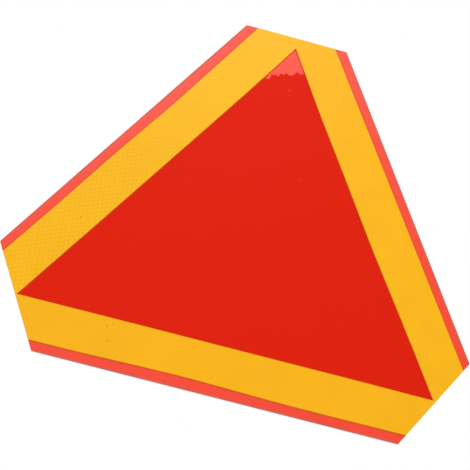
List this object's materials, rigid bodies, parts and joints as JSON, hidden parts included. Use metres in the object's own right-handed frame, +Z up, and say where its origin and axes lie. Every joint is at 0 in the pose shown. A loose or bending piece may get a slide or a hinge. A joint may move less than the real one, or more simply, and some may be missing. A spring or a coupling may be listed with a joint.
{
  "type": "slow moving vehicle sign",
  "caption": "Flat triangular rear sign with cut corners: red field, yellow reflective bands and light red margins on a metal sheet.",
  "frame": {"origin": "on the back face, behind the centre of the red triangle", "axes": "+X across the sign's width, +Y out of its back towards the vehicle, +Z up to its point; it faces -Y"},
  "size_m": [0.4179, 0.002, 0.3701],
  "materials": {
    "sheet_metal": "mill finish, bare on the back and the cut edge",
    "light_red_film": "glossy fluorescent light red film",
    "deep_red_film": "glossy deep red film",
    "reflective_yellow": "glossy yellow reflective sheeting with a faint honeycomb"
  },
  "bodies": {
    "root": {"backing_plate": "sheet_metal", "face_film": "light_red_film", "centre_film": "deep_red_film", "band_left": "reflective_yellow", "band_right": "reflective_yellow", "band_bottom": "reflective_yellow"}
  },
  "joints": []
}
